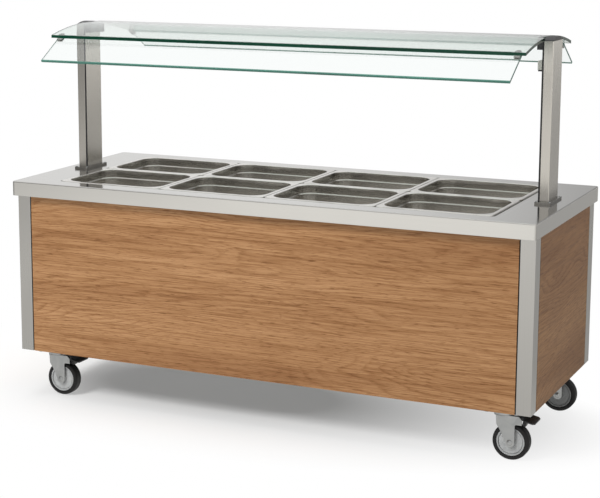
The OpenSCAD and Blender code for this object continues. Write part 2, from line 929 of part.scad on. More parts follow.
module glass_roof() {
    color([0.75, 0.90, 0.85, 0.5])
    difference() {
        intersection() {
            translate([-roof_half, hood_y, bow_z])
                rotate([0, 90, 0])
                    cylinder(r = roof_r, h = 2 * roof_half, $fn = 1440);
            translate([-roof_half, hood_y - roof_d / 2, bow_z])
                cube([2 * roof_half, roof_d, roof_r + cut]);
        }
        under_bow();
        for (side = [-1, 1]) {
            at_upright(side)
                translate([0, 0, upright_top])
                    cube([notch_w, upright_d + 2 * notch_clear, 2 * (roof_t + ridge_rise)], center = true);
        }
    }
}

module roof_rests() {
    rest_w = 18;
    rest_h = 26;
    color([0.06, 0.06, 0.06])
    intersection() {
        for (side = [-1, 1]) {
            translate([side * (inner_face - rest_w / 2), hood_y, ridge_z - roof_t - rest_h / 2])
                cube([rest_w, upright_d - 12, rest_h], center = true);
        }
        under_bow();
    }
}

// Sloping panes, held under the roof's edges by small clamps near their ends
module pane_frame(rear) {
    mirrored_y(rear)
        translate([0, hood_y - pane_y, pane_z])
            rotate([pane_angle, 0, 0])
                children();
}

module sloping_pane(rear) {
    color([0.78, 0.92, 0.88, 0.5])
    pane_frame(rear)
        translate([-pane_half, -pane_w, -pane_t / 2])
            cube([2 * pane_half, pane_w, pane_t]);
}

module front_pane() sloping_pane(false);
module rear_pane() sloping_pane(true);

module pane_clamps() {
    clamp_w = 16;
    jaw_t = 3;
    jaw_l = 16;
    color([0.66, 0.66, 0.65])
    for (rear = [false, true], side = [-1, 1]) {
        difference() {
            intersection() {
                union() {
                    pane_frame(rear)
                        translate([side * clamp_x - clamp_w / 2, -jaw_l, -pane_t / 2 - jaw_t])
                            cube([clamp_w, jaw_l + 5, pane_t + 2 * jaw_t]);
                    mirrored_y(rear)
                        translate([side * clamp_x, hood_y - pane_y, pane_z - 2])
                            cylinder(d = clamp_w, h = 30);
                }
                under_bow();
            }
            pane_frame(rear)
                translate([-counter_l / 2, -pane_w, -pane_t / 2 - hole_clear])
                    cube([counter_l, pane_w + hole_clear, pane_t + 2 * hole_clear]);
        }
    }
}

// Small box on the right upright's inner face
box_w = 17;
box_d = 40;
box_h = 24;
box_z = 358;
module side_box() {
    color([0.62, 0.61, 0.58])
    translate([inner_face - box_w, hood_y - box_d / 2 - 12, counter_h + box_z])
        cube([box_w, box_d, box_h]);
}

module side_box_base() {
    color([0.05, 0.05, 0.05])
    translate([inner_face - box_w + 1, hood_y - box_d / 2 - 11, counter_h + box_z - 4])
        cube([box_w - 1, box_d - 2, 4]);
}

// Caster: top plate with the upper race and the kingpin
module caster_plates() {
    color([0.70, 0.71, 0.72])
    at_casters() {
        difference() {
            block(plate_l, plate_w, 8, caster_h - plate_t, caster_h);
            caster_bolt_holes(caster_h - plate_t - cut, caster_h + cut);
        }
        translate([0, 0, lower_race_top + race_gap])
            cylinder(d = race_d, h = upper_race_h);
        translate([0, 0, lower_race_top + race_gap + upper_race_h])
            cylinder(d = race_d - 12, h = neck_h);
        translate([0, 0, crown_z - 1])
            cylinder(d = kingpin_d, h = caster_h - crown_z);
        translate([0, 0, crown_z - kingpin_nut_gap - kingpin_nut_h])
            cylinder(d = kingpin_nut_d, h = kingpin_nut_h, $fn = 6);
    }
}

module bolt(length) {
    cylinder(d = bolt_d, h = length);
    translate([0, 0, -bolt_head_h])
        cylinder(d = bolt_head_w / cos(30), h = bolt_head_h, $fn = 6);
}

module mounting_bolts() {
    grip = plate_t + channel_t;
    color([0.62, 0.63, 0.64]) {
        at_casters() {
            for (x = [-1, 1], y = [-1, 1]) {
                translate([x * bolt_dx, y * bolt_dy, caster_h - plate_t]) {
                    bolt(grip + bolt_end);
                    translate([0, 0, grip])
                        cylinder(d = bolt_head_w / cos(30), h = nut_h, $fn = 6);
                }
            }
        }
        at_uprights() {
            for (y = [-1, 1]) {
                translate([0, y * (upright_d / 2), counter_h - top_t - backing_t])
                    bolt(top_t + backing_t + foot_t - foot_skin - hole_clear);
            }
        }
    }
}

// Fork: crown, lower race and two legs with lugs, with the axle bolt through their eyes
module fork_leg() {
    eye = 12.5;
    axle_z = wheel_d / 2;
    lug_x = pivot_x + lug_reach;
    linear_extrude(height = fork_t) {
        polygon([
            [-race_d / 2 + 12, crown_z + fork_t], [lug_x - 8, crown_z + fork_t], [lug_x, crown_z - 5],
            [lug_x, wheel_d], [trail + eye + 3, wheel_d], [trail + eye, wheel_d - 3],
            [trail + eye, axle_z], [trail - eye, axle_z],
            [trail - eye - 10, axle_z + 24], [-race_d / 2 + 14, wheel_d - 4]
        ]);
        translate([trail, axle_z])
            circle(r = eye);
    }
}

module axle_bolt(width) {
    dome_r = (pow(head_d / 2, 2) + pow(head_h, 2)) / (2 * head_h);
    cylinder(d = axle_d, h = width, center = true);
    translate([0, 0, -width / 2 - axle_nut_h])
        cylinder(d = 17 / cos(30), h = axle_nut_h, $fn = 6);
    intersection() {
        translate([0, 0, width / 2])
            cylinder(d = head_d, h = head_h);
        translate([0, 0, width / 2 + head_h - dome_r])
            sphere(r = dome_r);
    }
}

module fork(braked) {
    width = 2 * (leg_inner + fork_t);
    color([0.72, 0.73, 0.74]) {
        difference() {
            union() {
                translate([0, 0, crown_z])
                    linear_extrude(height = fork_t) {
                        translate([-race_d / 2 + 12, -width / 2])
                            square([race_d - 8, width]);
                        circle(d = race_d - 4);
                    }
                translate([0, 0, crown_z])
                    cylinder(d = race_d - 6, h = fork_t + race_h);
                for (y = [-1, 1]) {
                    translate([0, y > 0 ? leg_inner + fork_t : -leg_inner, 0])
                        rotate([90, 0, 0])
                            fork_leg();
                }
            }
            translate([0, 0, crown_z - cut])
                cylinder(d = kingpin_d + 2 * run_clear, h = fork_t + race_h + 2 * cut);
        }
        translate([trail, 0, wheel_d / 2])
            rotate([90, 0, 0])
                axle_bolt(width);
        if (braked) {
            translate([pivot_x, 0, pivot_z])
                rotate([90, 0, 0])
                    cylinder(d = pivot_d, h = width, center = true);
        }
    }
}

// Wheel disc: hub, disc, groove and ring lip in one revolve
module wheel_disc() {
    r = disc_d / 2;
    bore = axle_d / 2 + run_clear;
    hub_half = leg_inner - face_clear;
    disc_half = tyre_w / 2 - 4;
    lip_half = tyre_w / 2 - 2;
    color([0.66, 0.67, 0.67])
    translate([trail, 0, wheel_d / 2])
        rotate([90, 0, 0])
            rotate_extrude()
                polygon([
                    [bore, -hub_half], [13, -hub_half], [15, -disc_half - 1], [r - 6, -disc_half],
                    [r - 5.5, -disc_half + 2], [r - 4, -disc_half + 2], [r - 3.5, -lip_half],
                    [r, -lip_half], [r, lip_half], [r - 3.5, lip_half],
                    [r - 4, disc_half - 2], [r - 5.5, disc_half - 2], [r - 6, disc_half],
                    [15, disc_half + 1], [13, hub_half], [bore, hub_half]
                ]);
}

module wheel_tyre() {
    r = wheel_d / 2;
    half = tyre_w / 2;
    tread_r = min(7, r - disc_d / 2 - 5);
    color([0.07, 0.07, 0.07])
    translate([trail, 0, r])
        rotate([90, 0, 0])
            rotate_extrude()
                polygon(concat(
                    [[disc_d / 2, -half + 3], [disc_d / 2 + 2, -half + 0.5], [disc_d / 2 + 4, -half]],
                    [for (a = [-90 : 18 : 0])
                        [r - tread_r + tread_r * cos(a), -half + tread_r + tread_r * sin(a)]],
                    [for (a = [0 : 18 : 90])
                        [r - tread_r + tread_r * cos(a), half - tread_r + tread_r * sin(a)]],
                    [[disc_d / 2 + 4, half], [disc_d / 2 + 2, half - 0.5], [disc_d / 2, half - 3]]
                ));
}

// The shoe's drop below the pivot leaves shoe_clear over the tyre when the pedal is pressed
press_angle = 12;
shoe_clear = 1.5;
press_slope = pedal_slope + press_angle;
shoe_x = pivot_ahead + lug_reach * cos(press_slope);
shoe_z = pivot_z - wheel_d / 2 - lug_reach * sin(press_slope);
shoe_along = shoe_x * sin(press_slope) + shoe_z * cos(press_slope);
shoe_across = shoe_x * cos(press_slope) - shoe_z * sin(press_slope);
shoe_drop = shoe_along - sqrt(pow(wheel_d / 2 + shoe_clear, 2) - pow(shoe_across, 2));

// Brake pedal: a sloping tread ahead of the fork, with a hub on the pivot pin and a shoe over the tyre
module brake_pedal() {
    hub_half = leg_inner - face_clear - 0.5;
    tread_half = pedal_w / 2;
    tread_t = 4;
    tread_lift = 9;
    tread_back = 4;
    color([0.06, 0.06, 0.06])
    translate([pivot_x, 0, pivot_z])
    rotate([0, pedal_slope, 0])
    difference() {
        union() {
            rotate([90, 0, 0])
                cylinder(d = pivot_d + 6, h = 2 * hub_half, center = true);
            translate([-tread_back, -hub_half, 0])
                cube([tread_back + 6, 2 * hub_half, tread_lift + tread_t / 2]);
            translate([0, 0, tread_lift])
                linear_extrude(height = tread_t)
                    polygon([
                        [-tread_back, -hub_half], [lug_reach + 3, -hub_half],
                        [lug_reach + 9, -tread_half],
                        [pedal_l - 6, -tread_half], [pedal_l, -tread_half + 8],
                        [pedal_l, tread_half - 8], [pedal_l - 6, tread_half],
                        [lug_reach + 9, tread_half], [lug_reach + 3, hub_half],
                        [-tread_back, hub_half]
                    ]);
            translate([lug_reach, -9, -shoe_drop])
                cube([10, 18, shoe_drop + tread_lift + tread_t / 2]);
        }
        rotate([90, 0, 0])
            cylinder(d = pivot_d + 2 * run_clear, h = 2 * hub_half + 2 * cut, center = true);
    }
}

module at_caster(x, y) {
    translate([x * caster_x, y * caster_y, 0])
        children();
}

module fork_front_left() at_caster(-1, -1) fork(true);
module fork_front_right() at_caster(1, -1) fork(true);
module fork_rear_left() at_caster(-1, 1) fork(false);
module fork_rear_right() at_caster(1, 1) fork(false);
module wheel_front_left() at_caster(-1, -1) wheel_disc();
module wheel_front_right() at_caster(1, -1) wheel_disc();
module wheel_rear_left() at_caster(-1, 1) wheel_disc();
module wheel_rear_right() at_caster(1, 1) wheel_disc();
module tyre_front_left() at_caster(-1, -1) wheel_tyre();
module tyre_front_right() at_caster(1, -1) wheel_tyre();
module tyre_rear_left() at_caster(-1, 1) wheel_tyre();
module tyre_rear_right() at_caster(1, 1) wheel_tyre();
module pedal_left() at_caster(-1, -1) brake_pedal();
module pedal_right() at_caster(1, -1) brake_pedal();

worktop();
water_tank();
tank_jacket();
heating_element();
cross_bars();
pan_1_front();
pan_2_front();
pan_3_front();
pan_4_front();
pan_1_rear();
pan_2_rear();
pan_3_rear();
pan_4_rear();
drain_valve();
drain_lever();
chassis();
storage_floor();
post_front_left();
post_front_right();
post_rear_left();
post_rear_right();
front_panel();
left_panel();
right_panel();
gap_seals();
control_panel();
thermostat();
thermostat_knob();
switch_frame();
switch_rocker();
signal_lamp();
left_upright();
right_upright();
foot_plates();
backing_plates();
upright_caps();
upright_strips();
glass_roof();
front_pane();
rear_pane();
roof_rests();
pane_clamps();
side_box();
side_box_base();
caster_plates();
mounting_bolts();
fork_front_left();
fork_front_right();
fork_rear_left();
fork_rear_right();
wheel_front_left();
wheel_front_right();
wheel_rear_left();
wheel_rear_right();
tyre_front_left();
tyre_front_right();
tyre_rear_left();
tyre_rear_right();
pedal_left();
pedal_right();
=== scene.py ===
from math import cos, radians, sin

import bpy
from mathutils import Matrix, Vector


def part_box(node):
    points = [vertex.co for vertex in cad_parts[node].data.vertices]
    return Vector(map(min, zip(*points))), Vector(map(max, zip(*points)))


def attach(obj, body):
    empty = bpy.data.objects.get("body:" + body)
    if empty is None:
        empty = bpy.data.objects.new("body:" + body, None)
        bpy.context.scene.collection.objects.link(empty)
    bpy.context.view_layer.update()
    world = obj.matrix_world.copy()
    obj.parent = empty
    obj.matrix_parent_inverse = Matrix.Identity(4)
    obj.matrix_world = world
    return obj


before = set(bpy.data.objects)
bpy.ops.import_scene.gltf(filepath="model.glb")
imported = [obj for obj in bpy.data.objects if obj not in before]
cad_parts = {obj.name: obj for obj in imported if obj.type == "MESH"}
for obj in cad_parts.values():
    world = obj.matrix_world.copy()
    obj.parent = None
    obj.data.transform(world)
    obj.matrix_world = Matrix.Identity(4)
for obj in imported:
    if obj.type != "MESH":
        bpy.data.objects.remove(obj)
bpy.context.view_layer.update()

# Worktop: one sheet of satin stainless steel, brushed along the counter, folded
# down at the rim and pressed round the opening that the pans lie in. It is the
# surface that the uprights stand on and that hands and plates wear.
def chip(red, green, blue):
    """A paint chip read in steps of 0 to 255, as the linear colour Blender wants."""
    steps = (red / 255, green / 255, blue / 255)
    return tuple(s / 12.92 if s < 0.04 else ((s + 0.055) / 1.055) ** 2.4 for s in steps)


def start_finish(name, colour, metal=0.0, roughness=0.5):
    """A new material of one colour, which the patterns are then wired into."""
    finish = bpy.data.materials.new(name)
    finish.use_nodes = True
    skin = skin_of(finish)
    skin.inputs["Base Color"].default_value = (*colour, 1.0)
    skin.inputs["Metallic"].default_value = metal
    skin.inputs["Roughness"].default_value = roughness
    return finish


def skin_of(finish):
    return finish.node_tree.nodes["Principled BSDF"]


def place_on(finish, scale=(1.0, 1.0, 1.0), shift=(0.0, 0.0, 0.0)):
    """The piece's own coordinates, stretched by scale and moved by shift."""
    tree = finish.node_tree
    where = tree.nodes.new("ShaderNodeTexCoord")
    stretch = tree.nodes.new("ShaderNodeMapping")
    stretch.inputs["Scale"].default_value = scale
    stretch.inputs["Location"].default_value = shift
    tree.links.new(where.outputs["Object"], stretch.inputs["Vector"])
    return stretch.outputs["Vector"]


def mottle(finish, scale, detail=3.0, twist=0.0):
    """Cloudy variation with its own scale along each axis, per metre."""
    tree = finish.node_tree
    cloud = tree.nodes.new("ShaderNodeTexNoise")
    cloud.inputs["Scale"].default_value = 1.0
    cloud.inputs["Detail"].default_value = detail
    cloud.inputs["Distortion"].default_value = twist
    tree.links.new(place_on(finish, scale), cloud.inputs["Vector"])
    return cloud.outputs["Fac"]


def spread(finish, pattern, low, high, start=0.3, end=0.7, ease="LINEAR"):
    """The pattern between start and end, laid out from low to high."""
    tree = finish.node_tree
    band = tree.nodes.new("ShaderNodeMapRange")
    band.interpolation_type = ease
    for socket, value in (("From Min", start), ("From Max", end), ("To Min", low), ("To Max", high)):
        band.inputs[socket].default_value = value
    tree.links.new(pattern, band.inputs["Value"])
    return band.outputs["Result"]


def tones(finish, pattern, *stops):
    """Colours picked by the pattern, from stops of (place, colour)."""
    tree = finish.node_tree
    ramp = tree.nodes.new("ShaderNodeValToRGB")
    while len(ramp.color_ramp.elements) < len(stops):
        ramp.color_ramp.elements.new(0.5)
    for element, (place, colour) in zip(ramp.color_ramp.elements, stops):
        element.position = place
        element.color = (*colour, 1.0)
    tree.links.new(pattern, ramp.inputs["Fac"])
    return ramp.outputs["Color"]


def reckon(finish, operation, first, second=None, clamp=False):
    """Arithmetic on patterns and plain numbers."""
    tree = finish.node_tree
    step = tree.nodes.new("ShaderNodeMath")
    step.operation = operation
    step.use_clamp = clamp
    for socket, value in zip(step.inputs, (first, second)):
        if isinstance(value, float):
            socket.default_value = value
        elif value is not None:
            tree.links.new(value, socket)
    return step.outputs["Value"]


def wire(finish, output, socket):
    """Joins a pattern to one socket of the finish's shader."""
    finish.node_tree.links.new(output, skin_of(finish).inputs[socket])


def paint(finish, pattern, dark, light, start=0.3, end=0.7):
    """Base colour from dark to light as the pattern goes from start to end."""
    wire(finish, tones(finish, pattern, (start, dark), (end, light)), "Base Color")


def emboss(finish, height, depth, strength, fold=0.0):
    """Relief from a height pattern, in metres, over edges rounded by fold."""
    tree = finish.node_tree
    relief = tree.nodes.new("ShaderNodeBump")
    relief.inputs["Strength"].default_value = strength
    relief.inputs["Distance"].default_value = depth
    tree.links.new(height, relief.inputs["Height"])
    if fold:
        soften = tree.nodes.new("ShaderNodeBevel")
        soften.samples = 6
        soften.inputs["Radius"].default_value = fold
        tree.links.new(soften.outputs["Normal"], relief.inputs["Normal"])
    wire(finish, relief.outputs["Normal"], "Normal")


def brushed_sheet(name, colour, grain, roughness, fold=0.0015):
    """Stainless sheet with brush lines; grain is the pattern's scale per axis."""
    finish = start_finish(name, colour, metal=1.0)
    lines = mottle(finish, grain, detail=4.0)
    clouds = mottle(finish, (2.3, 2.9, 2.6), detail=2.0, twist=0.6)
    wear = 0.016
    light = tuple(min(1.0, c * (1 + wear)) for c in colour)
    dark = tuple(c * (1 - wear) for c in colour)
    paint(finish, lines, dark, light, 0.32, 0.68)
    smear = spread(finish, clouds, roughness - 0.03, roughness + 0.04)
    wire(finish, reckon(finish, "ADD", spread(finish, lines, -0.01, 0.015), smear), "Roughness")
    emboss(finish, lines, 0.00004, strength=0.03, fold=fold)
    return finish


def dress(finish, *names):
    """Puts a finish on the frame's pieces of these names."""
    for name in names:
        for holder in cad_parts[name].material_slots:
            holder.material = finish


top_steel = brushed_sheet("top_steel", chip(206, 204, 200), (3, 520, 520), 0.12, fold=0.0012)
dress(top_steel, "worktop")

# Pans: eight half-size pans drawn from polished stainless sheet, with a rolled rim,
# a stacking shoulder and a large radius at the floor. The upper walls carry painted shade
# and the lower walls and floor a painted highlight, and daily washing leaves them cloudy in places.
def axes_of(finish):
    """The piece's own X, Y and Z, each as a pattern."""
    tree = finish.node_tree
    parts = tree.nodes.new("ShaderNodeSeparateXYZ")
    tree.links.new(place_on(finish), parts.inputs["Vector"])
    return parts.outputs


def roughen(finish, pattern, low, high, start=0.3, end=0.7):
    """Roughness from low to high as the pattern goes from start to end."""
    wire(finish, spread(finish, pattern, low, high, start, end), "Roughness")


pan_steel = start_finish("pan_steel", chip(212, 209, 204), metal=1.0)
washed = mottle(pan_steel, (9, 8, 12), detail=3.0)
pan_floor_z = 0.552
pan_rim_z = 0.652
up_the_wall = spread(pan_steel, axes_of(pan_steel)["Z"], 0.0, 1.0, pan_floor_z, pan_rim_z)
# Painted shade on the upper walls and a painted highlight on the lower walls and floor, set by height, with
# the washing cloud mixed in.
wall_shade_and_washing = reckon(pan_steel, "ADD", up_the_wall, spread(pan_steel, washed, -0.06, 0.06))
shaded_wall_tones = (
    (0.0, chip(238, 235, 230)), (0.35, chip(233, 230, 225)), (0.66, chip(204, 201, 195)),
    (0.90, chip(172, 169, 163)), (0.985, chip(230, 227, 222)),
)
wire(pan_steel, tones(pan_steel, wall_shade_and_washing, *shaded_wall_tones), "Base Color")
roughen(pan_steel, washed, 0.22, 0.27)
dress(pan_steel, *[f"pan_{column}_{row}" for column in (1, 2, 3, 4) for row in ("front", "rear")])

# Well: the drawn tank that holds the hot water, three folded cross bars between
# the pans, and the galvanised jacket round the heater and the tank. Years of heat
# have browned the heater's sheath and left scale on it.
tank_steel = brushed_sheet("tank_steel", chip(172, 172, 170), (40, 40, 260), 0.3)
jacket_zinc = start_finish("jacket_zinc", chip(160, 163, 166), metal=1.0)
tree = jacket_zinc.node_tree
spangle = tree.nodes.new("ShaderNodeTexVoronoi")
spangle.inputs["Scale"].default_value = 70.0
tree.links.new(place_on(jacket_zinc), spangle.inputs["Vector"])
flake = tree.nodes.new("ShaderNodeSeparateColor")
tree.links.new(spangle.outputs["Color"], flake.inputs["Color"])
paint(jacket_zinc, flake.outputs["Red"], chip(142, 146, 150), chip(174, 177, 180), 0.0, 1.0)
roughen(jacket_zinc, flake.outputs["Green"], 0.36, 0.52, 0.0, 1.0)
heater_sheath = start_finish("heater_sheath", chip(104, 98, 92), metal=1.0, roughness=0.45)
scale_marks = mottle(heater_sheath, (12, 40, 40), detail=3.0)
paint(heater_sheath, scale_marks, chip(82, 74, 70), chip(128, 118, 106), start=0.35)
dress(tank_steel, "water_tank", "cross_bars")
dress(jacket_zinc, "tank_jacket")
dress(heater_sheath, "heating_element")

# Drain: a brass ball valve under the tank, dulled and tarnished by steam, with a
# red dipped grip on its lever.
valve_brass = start_finish("valve_brass", chip(190, 160, 92), metal=1.0)
tarnish = mottle(valve_brass, (46, 46, 46), detail=4.0)
paint(valve_brass, tarnish, chip(160, 130, 78), chip(200, 172, 108), start=0.35)
roughen(valve_brass, tarnish, 0.42, 0.26)
emboss(valve_brass, tarnish, 0.0002, strength=0.2, fold=0.001)
grip_red = start_finish("grip_red", chip(168, 34, 28), roughness=0.4)
dip = mottle(grip_red, (60, 60, 60), detail=2.0)
paint(grip_red, dip, chip(150, 28, 24), chip(178, 40, 32))
emboss(grip_red, dip, 0.0002, strength=0.2, fold=0.001)
dress(valve_brass, "drain_valve")
dress(grip_red, "drain_lever")

# Corner posts: stainless sheet folded to an angle, brushed up and down, with the
# panels let in between their returns.
post_steel = brushed_sheet("post_steel", chip(194, 192, 188), (520, 520, 3), 0.28, fold=0.0012)
corners = [f"{row}_{side}" for row in ("front", "rear") for side in ("left", "right")]
dress(post_steel, *[f"post_{corner}" for corner in corners])

# Panels: chipboard with an oak decor laminate on both faces, its grain level all
# round the body, let in between the posts. The grain has long flames, darker
# growth lines and short dark pores.
def lay(finish, under, over, amount, mode="MIX"):
    """One colour laid on another; amount is a share or a pattern."""
    tree = finish.node_tree
    mix = tree.nodes.new("ShaderNodeMix")
    mix.data_type = "RGBA"
    mix.blend_type = mode
    under_colour = 6
    over_colour = 7
    mixed_colour = 2
    for socket, value in (("Factor", amount), (under_colour, under), (over_colour, over)):
        if isinstance(value, float):
            mix.inputs[socket].default_value = value
        elif isinstance(value, tuple):
            mix.inputs[socket].default_value = (*value, 1.0)
        else:
            tree.links.new(value, mix.inputs[socket])
    return mix.outputs[mixed_colour]


def oak_decor(name, along):
    """Oak laminate whose grain runs level, along X or along Y."""
    oak = start_finish(name, chip(166, 117, 77), roughness=0.46)

    def grain(length, height, detail=2.0, twist=0.0):
        """A pattern with so many marks to the metre along the panel and up it."""
        scale = (length, 1.0, height) if along == "x" else (1.0, length, height)
        return mottle(oak, scale, detail, twist)

    def shares(pattern, *stops):
        """Shares of light that deepen towards brown, not grey."""
        return tones(oak, pattern, *[(place, (level, level ** 1.35, level ** 1.8)) for place, level in stops])

    rings_per_metre = 40.0
    waviness = 36.0
    raggedness = 0.8
    fibres = grain(7.0, 430.0, detail=6.0)
    hills = reckon(oak, "MULTIPLY", grain(0.8, 5.4, twist=0.3), waviness)
    rise = reckon(oak, "MULTIPLY", axes_of(oak)["Z"], rings_per_metre)
    field = reckon(oak, "ADD", hills, rise)
    nicks = reckon(oak, "MULTIPLY", fibres, raggedness)
    rings = reckon(oak, "FRACT", reckon(oak, "ADD", field, nicks))
    figure = shares(rings, (0.0, 0.62), (0.10, 0.80), (0.34, 1.0), (0.9, 1.05), (1.0, 0.84))
    flames = shares(grain(1.3, 6.0, twist=0.4), (0.36, 0.15), (0.62, 0.95))
    streaks = grain(1.2, 70.0, detail=6.0)
    strokes = grain(12.0, 390.0, detail=3.0)
    pores = grain(38.0, 520.0)
    dashes = grain(15.0, 180.0)
    knots = grain(7.0, 20.0, detail=3.0, twist=1.2)
    # Each kind of mark with how strongly it shows and its shares of light
    marks = (
        (streaks, 0.7, ((0.3, 0.84), (0.5, 1.0), (0.72, 1.05))),
        (fibres, 0.9, ((0.34, 0.72), (0.5, 0.99), (0.66, 1.11))),
        (strokes, 0.75, ((0.31, 0.68), (0.42, 1.0))),
        (pores, 0.65, ((0.32, 0.50), (0.41, 1.0))),
        (dashes, 0.6, ((0.27, 0.50), (0.34, 1.0))),
        (knots, 0.6, ((0.23, 0.50), (0.29, 1.0))),
    )
    clouds = grain(1.0, 8.0, detail=4.0, twist=0.4)
    base_tones = ((0.26, chip(152, 108, 70)), (0.5, chip(171, 127, 86)), (0.74, chip(188, 144, 102)))
    shade = lay(oak, tones(oak, clouds, *base_tones), figure, flames, "MULTIPLY")
    for pattern, amount, stops in marks:
        shade = lay(oak, shade, shares(pattern, *stops), amount, "MULTIPLY")
    wire(oak, shade, "Base Color")
    roughen(oak, fibres, 0.42, 0.56)
    emboss(oak, pores, 0.0002, strength=0.25)
    skin_of(oak).inputs["Specular IOR Level"].default_value = 0.25
    return oak


dress(oak_decor("oak_front", "x"), "front_panel")
dress(oak_decor("oak_side", "y"), "left_panel", "right_panel")

# Seals: black strips set into the shadow gaps between the posts and the panels, and
# a black strip in the rebate of each upright. Both are painted shade where the gaps are dark.
# Black where the gaps show only shade: painted shade.
gap_shade_rubber = start_finish("gap_shade_rubber", chip(30, 30, 31), roughness=0.7)
bloom = mottle(gap_shade_rubber, (30, 30, 8), detail=3.0)
paint(gap_shade_rubber, bloom, chip(22, 22, 23), chip(40, 40, 41))
dress(gap_shade_rubber, "gap_seals", "upright_strips")

# Chassis: a welded ring of channel, powder coated dark, and the sheet floor of
# the storage space that lies on it.
powder_coat = start_finish("powder_coat", chip(58, 59, 61), roughness=0.5)
peel = mottle(powder_coat, (420, 420, 420), detail=2.0)
dust = mottle(powder_coat, (5, 5, 9), detail=3.0)
paint(powder_coat, dust, chip(50, 51, 53), chip(68, 69, 70), start=0.35)
emboss(powder_coat, peel, 0.0002, strength=0.3, fold=0.0015)
floor_steel = brushed_sheet("floor_steel", chip(178, 178, 175), (4, 280, 280), 0.34)
dress(powder_coat, "chassis")
dress(floor_steel, "storage_floor")

# Controls: a folded stainless panel on the operator's side with a thermostat, a
# rocker switch and a signal lamp, all moulded in plastic and clipped through it.
control_steel = brushed_sheet("control_steel", chip(192, 191, 187), (4, 300, 300), 0.3)
moulded_black = start_finish("moulded_black", chip(34, 34, 35), roughness=0.42)
pebble = mottle(moulded_black, (520, 520, 520), detail=2.0)
paint(moulded_black, pebble, chip(28, 28, 29), chip(40, 40, 41))
emboss(moulded_black, pebble, 0.0001, strength=0.25, fold=0.0006)
rocker_green = start_finish("rocker_green", chip(40, 132, 66), roughness=0.3)
moulding = mottle(rocker_green, (90, 90, 90), detail=2.0)
paint(rocker_green, moulding, chip(34, 120, 58), chip(48, 142, 74))
lamp_amber = start_finish("lamp_amber", chip(240, 150, 30), roughness=0.12)
skin_of(lamp_amber).inputs["Coat Weight"].default_value = 0.6
ripple = mottle(lamp_amber, (260, 260, 260), detail=1.0)
paint(lamp_amber, ripple, chip(232, 132, 18), chip(248, 168, 48))
emboss(lamp_amber, ripple, 0.0004, strength=0.5)
dress(control_steel, "control_panel")
dress(moulded_black, "thermostat", "thermostat_knob", "switch_frame")
dress(rocker_green, "switch_rocker")
dress(lamp_amber, "signal_lamp")

# Dial marks: eleven strokes of dark ink printed on the control panel round the
# knob, from the top clockwise over the travel of the knob. The first, the middle
# and the last stroke are longer.
def clear_selection():
    if bpy.context.object and bpy.context.object.mode != "OBJECT":
        bpy.ops.object.mode_set(mode="OBJECT")
    bpy.ops.object.select_all(action="DESELECT")


def pick(piece):
    """Makes the piece the only one selected, and the active one."""
    clear_selection()
    piece.select_set(True)
    bpy.context.view_layer.objects.active = piece


def round_off(piece, width, segments=2, angle=40):
    """Bevels the edges sharper than angle, at the piece's real size."""
    pick(piece)
    bpy.ops.object.transform_apply(location=False, rotation=False, scale=True)
    bevel = piece.modifiers.new("round", "BEVEL")
    bevel.width = width
    bevel.segments = segments
    bevel.limit_method = "ANGLE"
    bevel.angle_limit = radians(angle)
    bpy.ops.object.modifier_apply(modifier="round")


def copy_to(piece, place, turn):
    """A copy of the piece, with its own mesh, put at a place and turned."""
    twin = piece.copy()
    twin.data = piece.data.copy()
    bpy.context.collection.objects.link(twin)
    twin.location = place
    twin.rotation_euler = turn
    return twin


def join(pieces):
    pick(pieces[0])
    for piece in pieces:
        piece.select_set(True)
    bpy.ops.object.join()
    return pieces[0]


def settle(piece, name, finish, body):
    """Puts a finished piece at the origin with its place in its mesh, and sets it on its body."""
    pick(piece)
    bpy.ops.object.transform_apply(location=True, rotation=True, scale=True)
    bpy.ops.object.mode_set(mode="EDIT")
    bpy.ops.mesh.select_all(action="SELECT")
    bpy.ops.mesh.normals_make_consistent(inside=False)
    bpy.ops.object.mode_set(mode="OBJECT")
    bpy.ops.object.shade_smooth_by_angle(angle=radians(35))
    piece.name = name
    piece.data.materials.clear()
    piece.data.materials.append(finish)
    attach(piece, body)


def ink_stroke(length):
    """One printed stroke, upright at the origin."""
    width = 0.0012
    depth = 0.0004
    clear_selection()
    bpy.ops.mesh.primitive_cube_add(size=1)
    stroke = bpy.context.object
    stroke.scale = (width, depth, length)
    round_off(stroke, 0.0001, segments=1)
    return stroke


mark_ink = start_finish("mark_ink", chip(44, 44, 46), roughness=0.6)
ink_wear = mottle(mark_ink, (300, 300, 300), detail=2.0)
paint(mark_ink, ink_wear, chip(38, 38, 40), chip(70, 70, 72), end=0.8)
knob_low, knob_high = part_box("thermostat_knob")
knob_x = (knob_low.x + knob_high.x) / 2
knob_z = (knob_low.z + knob_high.z) / 2
panel_low, panel_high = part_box("control_panel")
printed_y = panel_high.y + 0.0001
long_stroke = ink_stroke(0.007)
short_stroke = ink_stroke(0.004)
knob_travel = radians(270)
last_step = 10
middle_step = 5
strokes = []
for step in range(last_step + 1):
    turn = knob_travel * step / last_step
    stroke, reach = (short_stroke, 0.0290) if step % middle_step else (long_stroke, 0.0305)
    spot = (knob_x - reach * sin(turn), printed_y, knob_z + reach * cos(turn))
    strokes.append(copy_to(stroke, spot, (0, -turn, 0)))
bpy.data.objects.remove(long_stroke)
bpy.data.objects.remove(short_stroke)
settle(join(strokes), "dial_marks", mark_ink, "counter")

# Knob pointer: a bar of white plastic let into the face of the knob, which shows
# where it is set.
white_inlay = start_finish("white_inlay", chip(232, 232, 228), roughness=0.45)
inlay_wear = mottle(white_inlay, (200, 200, 200), detail=2.0)
paint(white_inlay, inlay_wear, chip(220, 220, 215), chip(240, 240, 236))
pointer_reach = 0.0145
pointer_size = (0.0018, 0.0008, 0.012)
clear_selection()
bpy.ops.mesh.primitive_cube_add(size=1, location=(knob_x, knob_high.y, knob_z + pointer_reach))
pointer = bpy.context.object
pointer.scale = pointer_size
round_off(pointer, 0.0003)
settle(pointer, "knob_pointer", white_inlay, "knob")

